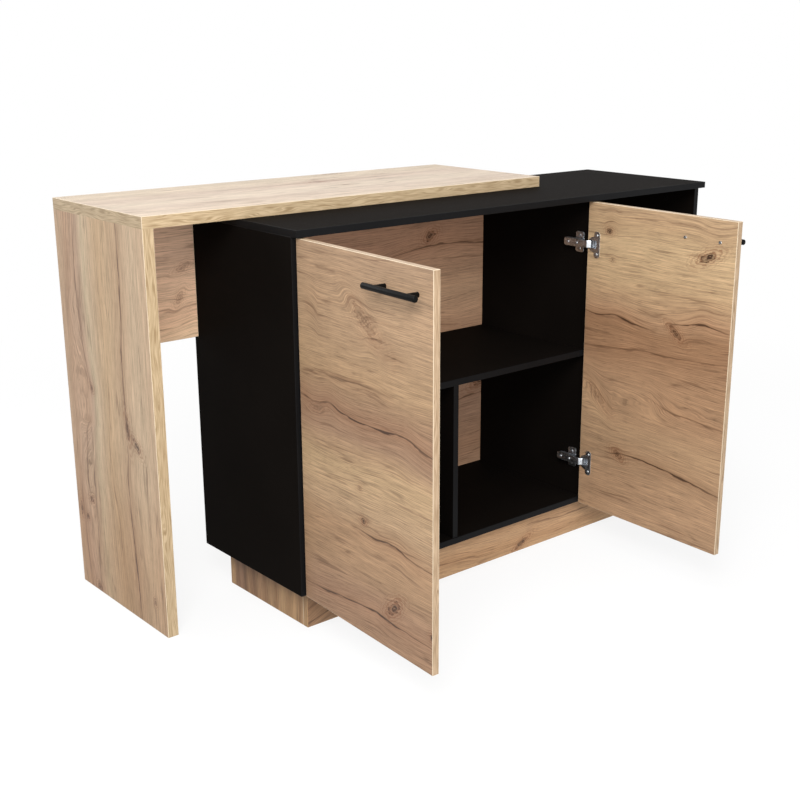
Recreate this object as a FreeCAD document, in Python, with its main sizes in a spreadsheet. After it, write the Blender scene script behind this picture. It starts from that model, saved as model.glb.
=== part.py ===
"""Kitchen island: a black cabinet on an oak plinth, with two oak doors on cup hinges, an open niche and a
breakfast bar that laps over the cabinet's back half and stands on a panel leg.

Millimetres and degrees. X runs right along the front, Y from the front to the back, Z up. The origin lies
on the floor at the centre of the plinth. The doors are modelled standing open, which is their rest pose.
"""
import FreeCAD
import Part
import Sketcher
import os
import re

# Cabinet: side panels standing on the plinth, a top laid over them, a back set in between them.
cabinet_length = 1280
carcass_depth = 385
side_height = 765
board = 15
top_board = 15
shelf_board = 15
back_board = 15
top_overhang = 20

# Inside: the bay behind the doors ends at the far face of the divider, the niche fills the rest.
door_bay = 880
lower_bay_height = 369
lower_left_bay = 417.5
niche_bay_height = 235
inner_setback = 2

# Plinth: a frame of boards set back under the cabinet.
plinth_height = 95
plinth_board = 15
plinth_side_inset = 35
plinth_front_inset = 31
plinth_back_inset = 47

# Breakfast bar: its left end reaches past the cabinet, its back edge hangs over the knee space.
table_length = 1100
table_depth = 395
table_board = 25
table_reach = 220
table_back_overhang = 195
leg_board = 25
apron_board = 15
apron_height = 280

# Doors: a pair that covers the side panel and the divider, less the reveal.
door_board = 15
door_reveal = 5
door_gap = 3
door_stand_off = 4.5
door_top_gap = 2
door_bottom_gap = 1
left_door_angle = 93
right_door_angle = 88

# Hinge axis: measured from the door's hinge edge and from its inner face.
hinge_from_top = 100
hinge_from_bottom = 113
pivot_from_edge = 9.6
pivot_depth = 9

# Hinge cup: pressed into a bore in the door, with a well for the arm and a flange with two screws.
cup_diameter = 35
cup_tab = 3
cup_depth = 12.3
cup_floor = 0.8
cup_well_clearance = 0.5
cup_rim = 1
flange_thickness = 1.2
flange_width = 18
flange_height = 63
flange_corner = 8
cup_screw_spacing = 45
cup_screw_offset = 9.5

# Hinge arm: a bent strip from the eye on the pin to the plate, with sides down past the plate's rib.
pin_diameter = 2.5
pin_length = 24
pin_clearance = 0.05
eye_wall = 0.8
eye_clearance = 0.4
arm_gauge = 2.4
arm_slant = 7
arm_corner = 5
arm_neck_width = 17
arm_shoulder_step = 1
arm_shoulder_from_front = 8
arm_shoulder = 6
arm_side = 8
arm_side_wall = 1.5
arm_inside = 64
arm_screw_diameter = 4
arm_screw_head = 7
arm_screw_head_height = 1.6
arm_screw_depth = 6
arm_front_screw = 24
arm_back_screw = 52

# Hinge plate: two wings screwed to the panel and a rib that carries the arm.
plate_height = 16
plate_base = 2
plate_from_front = 28
plate_wing_width = 26
plate_wing_height = 50
plate_rib_width = 13
plate_rib_front = 14
plate_rib_back = 62
plate_corner = 6
plate_screw_spacing = 32

# Wood screws of the hinges, and the room round a fixing in its hole.
wood_screw_diameter = 3.5
wood_screw_head = 7
wood_screw_head_height = 1.4
wood_screw_length = 11
fit_clearance = 0.05
end_gap = 0.5

# Handles: a round bar on two posts, bolted through the door.
handle_hole_spacing = 96
handle_length = 156
handle_diameter = 12
handle_end_chamfer = 1
handle_stand_off = 27.5
post_diameter = 10
handle_from_free_edge = 44
handle_from_top = 49
handle_screw_diameter = 4
handle_screw_head = 8
handle_screw_head_height = 2
handle_screw_in_post = 8

# Dowels, cam fittings and the screws that hold the bar down on the cabinet.
dowel_diameter = 8
dowel_length = 30
dowel_in_face = 9
dowel_from_edge = 60
cam_bolt_diameter = 6
cam_bolt_in_face = 9
cam_bolt_in_cam = 5
cam_diameter = 15
cam_depth = 12
cam_from_edge = 34
cam_from_dowel = 32
table_screw_diameter = 4.5
table_screw_head = 9
table_screw_head_height = 3
table_screw_length = 34
table_screw_inset = 70

# Every size so far goes into a row of the sheet, under an alias of its own.
sizes = {name: value for name, value in dict(vars()).items() if isinstance(value, (int, float))}
doc = FreeCAD.newDocument("kitchen_island")
sheet = doc.addObject("Spreadsheet::Sheet", "Sizes")
for row, (name, value) in enumerate(sizes.items(), 1):
    sheet.set(f"A{row}", name)
    sheet.set(f"B{row}", str(value))
    sheet.setAlias(f"B{row}", name)


def in_sheet(formula):
    """A formula in size names, as an expression that reads each of them from the sheet."""
    return re.sub(r"[a-z]\w*", lambda word: "Sizes." + word[0] if word[0] in sizes else word[0], formula)


def bind(thing, **formulas):
    """Bind properties of an object to formulas."""
    for name, formula in formulas.items():
        thing.setExpression(name, in_sheet(formula))


def place(thing, x, y, z):
    """Bind the position of an object to formulas."""
    for axis, formula in zip("xyz", (x, y, z)):
        thing.setExpression("Placement.Base." + axis, in_sheet(formula))


# Levels and faces that several pieces share, as formulas in the sizes.
LEFT = "(-cabinet_length / 2)"
RIGHT = "(cabinet_length / 2)"
FRONT = "(-(carcass_depth + plinth_front_inset - plinth_back_inset) / 2)"
BACK = f"({FRONT} + carcass_depth)"
INNER_LEFT = f"({LEFT} + board)"
INNER_RIGHT = f"({RIGHT} - board)"
INNER_FRONT = f"({FRONT} + inner_setback)"
INNER_BACK = f"({BACK} - back_board)"
NICHE_LEFT = f"({LEFT} + door_bay)"
BAY_RIGHT = f"({NICHE_LEFT} - board)"
PARTITION = f"({INNER_LEFT} + lower_left_bay)"
CARCASS_LOW = "(plinth_height)"
BAY_FLOOR = f"({CARCASS_LOW} + board)"
CARCASS_HIGH = f"({CARCASS_LOW} + side_height)"
DECK = f"({CARCASS_HIGH} + top_board)"
SHELF = f"({BAY_FLOOR} + lower_bay_height)"
NICHE_LOW = f"({BAY_FLOOR} + niche_bay_height)"
NICHE_HIGH = f"({NICHE_LOW} + shelf_board + niche_bay_height)"
PLINTH_LEFT = f"({LEFT} + plinth_side_inset)"
PLINTH_RIGHT = f"({RIGHT} - plinth_side_inset)"
PLINTH_FRONT = f"({FRONT} + plinth_front_inset)"
PLINTH_BACK = f"({BACK} - plinth_back_inset)"
TABLE_LEFT = f"({LEFT} - table_reach)"
TABLE_BACK = f"({BACK} + table_back_overhang)"
TABLE_FRONT = f"({TABLE_BACK} - table_depth)"
LEG_INNER = f"({TABLE_LEFT} + leg_board)"
APRON_FRONT = f"({BACK} - apron_board)"
APRON_LOW = f"({DECK} - apron_height)"

blanks = {}
bores = {}
groups = {}
nodes = {}


def add_board(name, x, y, z):
    """A flat board, given by its lower and upper limit along each axis. It is drilled later."""
    blank = doc.addObject("Part::Box", name + "_blank")
    bind(blank, Length=f"{x[1]} - {x[0]}", Width=f"{y[1]} - {y[0]}", Height=f"{z[1]} - {z[0]}")
    place(blank, x[0], y[0], z[0])
    blanks[name] = blank


def shifted(point, axis, amount):
    """A point of three formulas, moved by an amount along an axis such as +X or -Z."""
    moved = list(point)
    along = "XYZ".index(axis[1])
    moved[along] = f"{point[along]} {axis[0]} ({amount})"
    return moved


def aim(thing, axis):
    """Turn an object that was made along +Z to point along an axis such as +X or -Z."""
    heading = FreeCAD.Vector(*(int(axis[0] + "1") if letter == axis[1] else 0 for letter in "XYZ"))
    thing.Placement.Rotation = FreeCAD.Rotation(FreeCAD.Vector(0, 0, 1), heading)


def rod(name, diameter, length, start, axis):
    """A round rod that runs from its start along an axis such as +X or -Z."""
    cylinder = doc.addObject("Part::Cylinder", name)
    aim(cylinder, axis)
    bind(cylinder, Radius=f"({diameter}) / 2", Height=length)
    place(cylinder, *start)
    return cylinder


def next_name(group):
    """The name of the next piece of a group of like pieces."""
    return f"{group}_{len(groups.setdefault(group, [])) + 1}"


def drill(hole, *boards):
    """Note a hole that goes through or into the boards named."""
    for name in boards:
        bores.setdefault(name, []).append(hole)


def dowel(group, face, edge, point, axis):
    """A dowel where the end of one board butts on the face of another; the axis points into the end."""
    name = next_name(group)
    start = shifted(point, axis, "-dowel_in_face")
    groups[group].append(rod(name, "dowel_diameter", "dowel_length", start, axis))
    mouth = shifted(point, axis, "-dowel_in_face - end_gap")
    bore = "dowel_diameter + 2 * fit_clearance"
    drill(rod(name + "_bore", bore, "dowel_length + 2 * end_gap", mouth, axis), face, edge)


def cam(face, edge, point, axis, mouth, sink):
    """A cam fitting: a bolt stands in one board's face and enters a cam disc sunk into the other board.

    The axis points along the bolt, the mouth is the place of the board face that the disc is sunk from,
    and the sink axis points into that board.
    """
    name = next_name("cam_bolts")
    reach = "cam_bolt_in_face + cam_from_edge - cam_diameter / 2 + cam_bolt_in_cam"
    start = shifted(point, axis, "-cam_bolt_in_face")
    groups["cam_bolts"].append(rod(name, "cam_bolt_diameter", reach, start, axis))
    bolt_start = shifted(point, axis, "-cam_bolt_in_face - end_gap")
    bolt_bore = rod(name + "_bore", "cam_bolt_diameter + 2 * fit_clearance", reach + " + 2 * end_gap",
                    bolt_start, axis)
    drill(bolt_bore, face, edge)
    centre = shifted(point, axis, "cam_from_edge")
    centre["XYZ".index(sink[1])] = mouth
    name = next_name("cam_discs")
    disc = doc.addObject("Part::Cut", name)
    disc.Base = rod(name + "_blank", "cam_diameter", "cam_depth", centre, sink)
    disc.Tool = bolt_bore
    groups["cam_discs"].append(disc)
    drill(rod(name + "_bore", "cam_diameter + 2 * fit_clearance", "cam_depth + end_gap", centre, sink), edge)


# Carcass boards.
DEPTH = (FRONT, BACK)
INSIDE = (INNER_FRONT, INNER_BACK)
add_board("left_side_panel", (LEFT, INNER_LEFT), DEPTH, (CARCASS_LOW, CARCASS_HIGH))
add_board("right_side_panel", (INNER_RIGHT, RIGHT), DEPTH, (CARCASS_LOW, CARCASS_HIGH))
add_board("bottom_panel", (INNER_LEFT, INNER_RIGHT), (FRONT, INNER_BACK), (CARCASS_LOW, BAY_FLOOR))
add_board("back_panel", (INNER_LEFT, INNER_RIGHT), (INNER_BACK, BACK), (CARCASS_LOW, CARCASS_HIGH))
add_board("divider_panel", (BAY_RIGHT, NICHE_LEFT), (FRONT, INNER_BACK), (BAY_FLOOR, CARCASS_HIGH))
add_board("cabinet_top", (LEFT, RIGHT), (f"({FRONT} - top_overhang)", BACK), (CARCASS_HIGH, DECK))
add_board("main_shelf", (INNER_LEFT, BAY_RIGHT), INSIDE, (SHELF, f"({SHELF} + shelf_board)"))
add_board("lower_partition", (PARTITION, f"({PARTITION} + board)"), INSIDE, (BAY_FLOOR, SHELF))
add_board("niche_lower_shelf", (NICHE_LEFT, INNER_RIGHT), INSIDE, (NICHE_LOW, f"({NICHE_LOW} + shelf_board)"))
add_board("niche_upper_shelf", (NICHE_LEFT, INNER_RIGHT), INSIDE,
          (NICHE_HIGH, f"({NICHE_HIGH} + shelf_board)"))

# Plinth frame: the front and back boards cover the ends of the three cross boards.
PLINTH_RISE = ("0", CARCASS_LOW)
CROSS = (f"({PLINTH_FRONT} + plinth_board)", f"({PLINTH_BACK} - plinth_board)")
add_board("plinth_front", (PLINTH_LEFT, PLINTH_RIGHT), (PLINTH_FRONT, CROSS[0]), PLINTH_RISE)
add_board("plinth_back", (PLINTH_LEFT, PLINTH_RIGHT), (CROSS[1], PLINTH_BACK), PLINTH_RISE)
cross_boards = {
    "plinth_left": PLINTH_LEFT,
    "plinth_brace": "(-plinth_board / 2)",
    "plinth_right": f"({PLINTH_RIGHT} - plinth_board)",
}
for name, x in cross_boards.items():
    add_board(name, (x, f"({x} + plinth_board)"), CROSS, PLINTH_RISE)

# Breakfast bar: top, panel leg and the apron that ties the leg to the cabinet.
TABLE_RIGHT = f"({TABLE_LEFT} + table_length)"
add_board("table_top", (TABLE_LEFT, TABLE_RIGHT), (TABLE_FRONT, TABLE_BACK),
          (DECK, f"({DECK} + table_board)"))
add_board("table_leg", (TABLE_LEFT, LEG_INNER), (TABLE_FRONT, TABLE_BACK), ("0", DECK))
add_board("table_apron", (LEG_INNER, LEFT), (APRON_FRONT, BACK), (APRON_LOW, DECK))

# Dowels and cams of the carcass: one dowel near each end of every joint, a cam beside it where it pulls.
FRONT_DOWEL = f"{FRONT} + dowel_from_edge"
BACK_DOWEL = f"{INNER_BACK} - dowel_from_edge"
FRONT_CAM = f"{FRONT_DOWEL} + cam_from_dowel"
BACK_CAM = f"{BACK_DOWEL} - cam_from_dowel"
BOTTOM_MID = f"{CARCASS_LOW} + board / 2"
side_faces = {
    "left_side_panel": (INNER_LEFT, "+X", f"{LEFT} + board / 2", "-X"),
    "right_side_panel": (INNER_RIGHT, "-X", f"{RIGHT} - board / 2", "+X"),
}
for panel, (face, inward, middle, outward) in side_faces.items():
    for y in (FRONT_DOWEL, BACK_DOWEL):
        dowel("carcass_dowels", panel, "bottom_panel", (face, y, BOTTOM_MID), inward)
        dowel("carcass_dowels", "cabinet_top", panel, (middle, y, CARCASS_HIGH), "-Z")
    for y in (FRONT_CAM, BACK_CAM):
        cam(panel, "bottom_panel", (face, y, BOTTOM_MID), inward, CARCASS_LOW, "+Z")
        cam("cabinet_top", panel, (middle, y, CARCASS_HIGH), "-Z", face, outward)
DIVIDER_MID = f"{BAY_RIGHT} + board / 2"
PARTITION_MID = f"{PARTITION} + board / 2"
shelf_ends = (
    ("left_side_panel", "main_shelf", INNER_LEFT, SHELF, "+X"),
    ("divider_panel", "main_shelf", BAY_RIGHT, SHELF, "-X"),
    ("divider_panel", "niche_lower_shelf", NICHE_LEFT, NICHE_LOW, "+X"),
    ("right_side_panel", "niche_lower_shelf", INNER_RIGHT, NICHE_LOW, "-X"),
    ("divider_panel", "niche_upper_shelf", NICHE_LEFT, NICHE_HIGH, "+X"),
    ("right_side_panel", "niche_upper_shelf", INNER_RIGHT, NICHE_HIGH, "-X"),
)
for y in (FRONT_DOWEL, BACK_DOWEL):
    dowel("carcass_dowels", "cabinet_top", "divider_panel", (DIVIDER_MID, y, CARCASS_HIGH), "-Z")
    dowel("carcass_dowels", "bottom_panel", "divider_panel", (DIVIDER_MID, y, BAY_FLOOR), "+Z")
    dowel("carcass_dowels", "bottom_panel", "lower_partition", (PARTITION_MID, y, BAY_FLOOR), "+Z")
    dowel("carcass_dowels", "main_shelf", "lower_partition", (PARTITION_MID, y, SHELF), "-Z")
    for panel, shelf, x, z, axis in shelf_ends:
        dowel("carcass_dowels", panel, shelf, (x, y, f"{z} + shelf_board / 2"), axis)

# Dowels of the plinth: the frame's corners, and up into the bottom panel.
PLINTH_MID = "plinth_height / 2"
for cross_board, x in cross_boards.items():
    middle = f"{x} + plinth_board / 2"
    dowel("plinth_dowels", "plinth_front", cross_board, (middle, CROSS[0], PLINTH_MID), "+Y")
    dowel("plinth_dowels", "plinth_back", cross_board, (middle, CROSS[1], PLINTH_MID), "-Y")
    dowel("plinth_dowels", "bottom_panel", cross_board, (middle, "0", CARCASS_LOW), "-Z")

# Dowels and cams of the breakfast bar: leg to top, apron to leg and to the cabinet's side.
LEG_MID = f"{TABLE_LEFT} + leg_board / 2"
APRON_MID = f"{APRON_FRONT} + apron_board / 2"
for y, toward in ((f"{TABLE_FRONT} + dowel_from_edge", "+"), (f"{TABLE_BACK} - dowel_from_edge", "-")):
    dowel("table_dowels", "table_top", "table_leg", (LEG_MID, y, DECK), "-Z")
    beside = f"{y} {toward} cam_from_dowel"
    cam("table_top", "table_leg", (LEG_MID, beside, DECK), "-Z", LEG_INNER, "-X")
for z, toward in ((f"{APRON_LOW} + dowel_from_edge", "+"), (f"{DECK} - dowel_from_edge", "-")):
    beside = f"{z} {toward} cam_from_dowel"
    for panel, x, axis in (("table_leg", LEG_INNER, "+X"), ("left_side_panel", LEFT, "-X")):
        dowel("table_dowels", panel, "table_apron", (x, APRON_MID, z), axis)
        cam(panel, "table_apron", (x, APRON_MID, beside), axis, BACK, "-Y")


def start_sketch(body, role, depth="0"):
    """A sketch on one of the body's own planes, moved by a formula's amount along the plane's normal."""
    sketch = body.newObject("Sketcher::SketchObject", body.Name + "_sketch")
    support = next(plane for plane in body.Origin.OriginFeatures if plane.Role == role)
    sketch.AttachmentSupport = (support, [""])
    sketch.MapMode = "FlatFace"
    sketch.setExpression("AttachmentOffset.Base.z", in_sheet(depth))
    return sketch


def fix_point(sketch, geometry, point, place, formulas):
    """Hold a point of the sketch at a pair of formulas, measured from the sketch's origin."""
    for kind, start, formula in zip(("DistanceX", "DistanceY"), place, formulas):
        index = sketch.addConstraint(Sketcher.Constraint(kind, -1, 1, geometry, point, start))
        sketch.setExpression(f"Constraints[{index}]", in_sheet(formula))


def outline(sketch, corners):
    """A closed outline of straight lines through corners, each a pair of formulas."""
    turns = [FreeCAD.Vector(1, 0, 0)]
    step = FreeCAD.Rotation(FreeCAD.Vector(0, 0, 1), 360 / len(corners))
    for _ in corners[1:]:
        turns.append(step.multVec(turns[-1]))
    lines = [sketch.addGeometry(Part.LineSegment(a, b)) for a, b in zip(turns, turns[1:] + turns[:1])]
    for line, following in zip(lines, lines[1:] + lines[:1]):
        sketch.addConstraint(Sketcher.Constraint("Coincident", line, 2, following, 1))
    for line, start, corner in zip(lines, turns, corners):
        fix_point(sketch, line, 1, (start.x, start.y), corner)


def rectangle(sketch, x, y):
    """An upright rectangle between two limits along each axis of the sketch."""
    outline(sketch, ((x[0], y[0]), (x[1], y[0]), (x[1], y[1]), (x[0], y[1])))


def circle(sketch, centre, diameter):
    """A circle whose centre and diameter follow formulas."""
    ring = sketch.addGeometry(Part.Circle(FreeCAD.Vector(), FreeCAD.Vector(0, 0, 1), 1))
    fix_point(sketch, ring, 3, (0, 0), centre)
    index = sketch.addConstraint(Sketcher.Constraint("Diameter", ring, 2))
    sketch.setExpression(f"Constraints[{index}]", in_sheet(diameter))


def grow(body, sketch, length, backwards=False, both_ways=False):
    """Pad a sketch along its normal, against it, or evenly both ways."""
    pad = body.newObject("PartDesign::Pad", body.Name + "_pad")
    pad.Profile = sketch
    pad.Reversed = backwards
    pad.Midplane = both_ways
    bind(pad, Length=length)
    doc.recompute()
    return pad


def carve(body, sketch, length, backwards=False, both_ways=False):
    """Pocket a sketch against its normal, along it (backwards), or evenly both ways. It has to cut."""
    before = body.Shape.Volume
    pocket = body.newObject("PartDesign::Pocket", body.Name + "_pocket")
    pocket.Profile = sketch
    pocket.Reversed = backwards
    pocket.Midplane = both_ways
    bind(pocket, Length=length)
    doc.recompute()
    if not body.Shape.Volume < before:
        raise RuntimeError(f"a pocket of {body.Name} cuts nothing")
    return pocket


def round_off(body, radius, wanted):
    """Fillet the straight edges of a body whose direction and middle the test wants."""
    feature = body.Tip
    edges = []
    for number, edge in enumerate(feature.Shape.Edges, 1):
        if len(edge.Vertexes) == 2 and edge.Curve.TypeId == "Part::GeomLine":
            if wanted(edge.Curve.Direction, edge.CenterOfMass):
                edges.append(f"Edge{number}")
    fillet = body.newObject("PartDesign::Fillet", body.Name + "_fillet")
    fillet.Base = (feature, edges)
    bind(fillet, Radius=radius)
    doc.recompute()


def bevel_rims(body, width):
    """Chamfer the round rims of a turned body."""
    feature = body.Tip
    rims = [f"Edge{number}" for number, edge in enumerate(feature.Shape.Edges, 1) if len(edge.Vertexes) == 1]
    chamfer = body.newObject("PartDesign::Chamfer", body.Name + "_chamfer")
    chamfer.Base = (feature, rims)
    bind(chamfer, Size=width)
    doc.recompute()


def screw(name, diameter, length, head, head_height):
    """A pattern screw along +Z, with its head's seat at the origin and the head behind it."""
    body = doc.addObject("PartDesign::Body", name)
    profile = start_sketch(body, "XZ_Plane")
    half_head = f"({head}) / 2"
    half_shank = f"({diameter}) / 2"
    outline(profile, (("0", f"-({head_height})"), (half_head, f"-({head_height})"), (half_head, "0"),
                      (half_shank, "0"), (half_shank, f"({length}) - ({diameter})"), ("0", length)))
    turned = body.newObject("PartDesign::Revolution", name + "_turned")
    turned.Profile = profile
    turned.ReferenceAxis = (profile, ["V_Axis"])
    turned.Angle = 360
    doc.recompute()
    return body


def copy_of(pattern, name, point, axis):
    """A copy of a pattern screw with its seat at a point, turned to point along an axis."""
    copy = doc.addObject("App::Link", name)
    copy.LinkedObject = pattern
    aim(copy, axis)
    place(copy, *point)
    return copy


# Screws that hold the bar down: up through the cabinet top from inside the bay behind the doors.
table_screw = screw("table_screw", "table_screw_diameter", "table_screw_length", "table_screw_head",
                    "table_screw_head_height")
for x in (f"{INNER_LEFT} + table_screw_inset", f"{BAY_RIGHT} - table_screw_inset"):
    for y in (f"{TABLE_FRONT} + table_screw_inset", f"{INNER_BACK} - table_screw_inset"):
        seat = (x, y, CARCASS_HIGH)
        name = next_name("table_screws")
        groups["table_screws"].append(copy_of(table_screw, name, seat, "+Z"))
        hole = rod(name + "_bore", "table_screw_diameter + 2 * fit_clearance",
                   "table_screw_length + end_gap", seat, "+Z")
        drill(hole, "cabinet_top", "table_top")

# Hinges. Each door turns about one upright pin. The left door's measures run to the right from its pin,
# and the right door's the other way, so every distance along X is multiplied by the door's hand.
DOOR_WIDTH = "((door_bay - 2 * door_reveal - door_gap) / 2)"
DOOR_LOW = f"({CARCASS_LOW} + door_bottom_gap)"
DOOR_HIGH = f"({CARCASS_HIGH} - door_top_gap)"
PIVOT_Y = f"({FRONT} - door_stand_off - pivot_depth)"
DOOR_FACE = "(pivot_depth - door_board)"
PANEL_FACE = "(board - door_reveal - pivot_from_edge)"
ARM_REACH = f"({PANEL_FACE} + plate_height)"
FRONT_EDGE = "(door_stand_off + pivot_depth)"
CUP_CENTRE = "(cup_tab + cup_diameter / 2 - pivot_from_edge)"
CUP_SCREWS = f"({CUP_CENTRE} + cup_screw_offset)"
EYE = "(pin_diameter / 2 + pin_clearance + eye_wall)"
NEAR_POST = f"({DOOR_WIDTH} - pivot_from_edge - handle_from_free_edge)"
FAR_POST = f"({NEAR_POST} - handle_hole_spacing)"
HANDLE_Z = f"({DOOR_HIGH} - handle_from_top)"
hinge_heights = {
    "upper": f"({DOOR_HIGH} - hinge_from_top)",
    "lower": f"({DOOR_LOW} + hinge_from_bottom)",
}
wood_screw = screw("wood_screw", "wood_screw_diameter", "wood_screw_length", "wood_screw_head",
                   "wood_screw_head_height")
arm_screw = screw("arm_screw", "arm_screw_diameter", "arm_screw_depth", "arm_screw_head",
                  "arm_screw_head_height")
handle_screw = screw("handle_screw", "handle_screw_diameter", "door_board + handle_screw_in_post",
                     "handle_screw_head", "handle_screw_head_height")
WOOD_HOLE = "wood_screw_diameter + 2 * fit_clearance"


def handed(hand, formula):
    """A distance from the pin along a closed door, as a distance along X."""
    return f"({hand} * ({formula}))"


def hang(thing, door, hand, height):
    """Put a piece of a door at the door's pin and turn it as far as the door stands open."""
    place(thing, pivots[door], PIVOT_Y, height)
    thing.setExpression("Placement.Rotation.Angle", in_sheet(f"{-hand} * {door}_angle"))


def gather(label, pieces):
    """One node out of several like pieces."""
    group = doc.addObject("Part::Compound", label + "_group")
    group.Links = pieces
    nodes[label] = group
    return group


def door_panel(door, hand):
    """A door board with the cup bores and screw holes in its inner face and the handle's bolt holes."""
    body = doc.addObject("PartDesign::Body", door)
    face = start_sketch(body, "XZ_Plane", "-pivot_depth")
    sides = (handed(hand, "-pivot_from_edge"), handed(hand, f"{DOOR_WIDTH} - pivot_from_edge"))
    rectangle(face, sides, (DOOR_LOW, DOOR_HIGH))
    grow(body, face, "door_board")
    cups = start_sketch(body, "XZ_Plane", "-pivot_depth")
    pilots = start_sketch(body, "XZ_Plane", "-pivot_depth")
    for height in hinge_heights.values():
        circle(cups, (handed(hand, CUP_CENTRE), height), "cup_diameter + 2 * fit_clearance")
        for side in "+-":
            hole = (handed(hand, CUP_SCREWS), f"{height} {side} cup_screw_spacing / 2")
            circle(pilots, hole, WOOD_HOLE)
    carve(body, cups, "cup_depth + end_gap / 2", backwards=True)
    carve(body, pilots, "wood_screw_length", backwards=True)
    bolts = start_sketch(body, "XZ_Plane", "-pivot_depth")
    for post in (NEAR_POST, FAR_POST):
        circle(bolts, (handed(hand, post), HANDLE_Z), "handle_screw_diameter + 2 * fit_clearance")
    carve(body, bolts, "door_board", backwards=True)
    hang(body, door, hand, "0")
    nodes[door] = body


def handle(door, hand):
    """The handle of a door: a round bar, two posts that end in a saddle under it, and their bolts."""
    bar_y = f"({DOOR_FACE} - handle_stand_off)"
    bar = doc.addObject("PartDesign::Body", door + "_handle_bar")
    middle = f"(({NEAR_POST} + {FAR_POST}) / 2)"
    end = start_sketch(bar, "YZ_Plane", handed(hand, f"{middle} - handle_length / 2"))
    circle(end, (bar_y, HANDLE_Z), "handle_diameter")
    grow(bar, end, "handle_length", backwards=hand < 0)
    bevel_rims(bar, "handle_end_chamfer")
    hang(bar, door, hand, "0")
    nodes[bar.Name] = bar
    posts = doc.addObject("PartDesign::Body", door + "_handle_posts")
    feet = start_sketch(posts, "XZ_Plane", f"-{DOOR_FACE}")
    threads = start_sketch(posts, "XZ_Plane", f"-{DOOR_FACE}")
    for post in (NEAR_POST, FAR_POST):
        circle(feet, (handed(hand, post), HANDLE_Z), "post_diameter")
        circle(threads, (handed(hand, post), HANDLE_Z), "handle_screw_diameter + 2 * fit_clearance")
    grow(posts, feet, "handle_stand_off")
    carve(posts, threads, "handle_screw_in_post + end_gap", backwards=True)
    saddle = start_sketch(posts, "YZ_Plane", handed(hand, middle))
    circle(saddle, (bar_y, HANDLE_Z), "handle_diameter + 2 * fit_clearance")
    carve(posts, saddle, "handle_length", both_ways=True)
    hang(posts, door, hand, "0")
    nodes[posts.Name] = posts
    screws = []
    for label, post in (("near", NEAR_POST), ("far", FAR_POST)):
        seat = (handed(hand, post), "pivot_depth", HANDLE_Z)
        screws.append(copy_of(handle_screw, f"{door}_{label}_bolt", seat, "-Y"))
    hang(gather(door + "_handle_screws", screws), door, hand, "0")


def hinge_cup(name, door, hand, height):
    """A hinge cup: a drum in the door with a flat-sided well, the pin's holes and a screwed flange."""
    body = doc.addObject("PartDesign::Body", name)
    flange = start_sketch(body, "XZ_Plane", "-pivot_depth")
    near, far = (handed(hand, f"{CUP_SCREWS} {side} flange_width / 2") for side in "-+")
    rectangle(flange, (near, far), ("-flange_height / 2", "flange_height / 2"))
    grow(body, flange, "flange_thickness", backwards=True)
    round_off(body, "flange_corner", lambda direction, middle: abs(direction.y) > 0.9)
    rim = start_sketch(body, "XZ_Plane", "-pivot_depth")
    circle(rim, (handed(hand, CUP_CENTRE), "0"), "cup_diameter + 2 * cup_rim")
    grow(body, rim, "flange_thickness", backwards=True)
    drum = start_sketch(body, "XZ_Plane", "-pivot_depth")
    circle(drum, (handed(hand, CUP_CENTRE), "0"), "cup_diameter")
    grow(body, drum, "cup_depth")
    well = start_sketch(body, "XZ_Plane", "-pivot_depth - flange_thickness")
    ends = (handed(hand, f"-{EYE} - eye_clearance"), handed(hand, f"{ARM_REACH} + arm_gauge + eye_clearance"))
    wall = "(arm_neck_width / 2 + cup_well_clearance)"
    rectangle(well, ends, ("-" + wall, wall))
    carve(body, well, "cup_depth + flange_thickness - cup_floor", backwards=True)
    seats = start_sketch(body, "XY_Plane")
    circle(seats, ("0", "0"), "pin_diameter + 2 * fit_clearance")
    carve(body, seats, "pin_length + 2 * end_gap", both_ways=True)
    holes = start_sketch(body, "XZ_Plane", "-pivot_depth - flange_thickness")
    for side in "+-":
        circle(holes, (handed(hand, CUP_SCREWS), f"{side}cup_screw_spacing / 2"), WOOD_HOLE)
    carve(body, holes, "flange_thickness", backwards=True)
    hang(body, door, hand, height)
    nodes[name] = body


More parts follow.
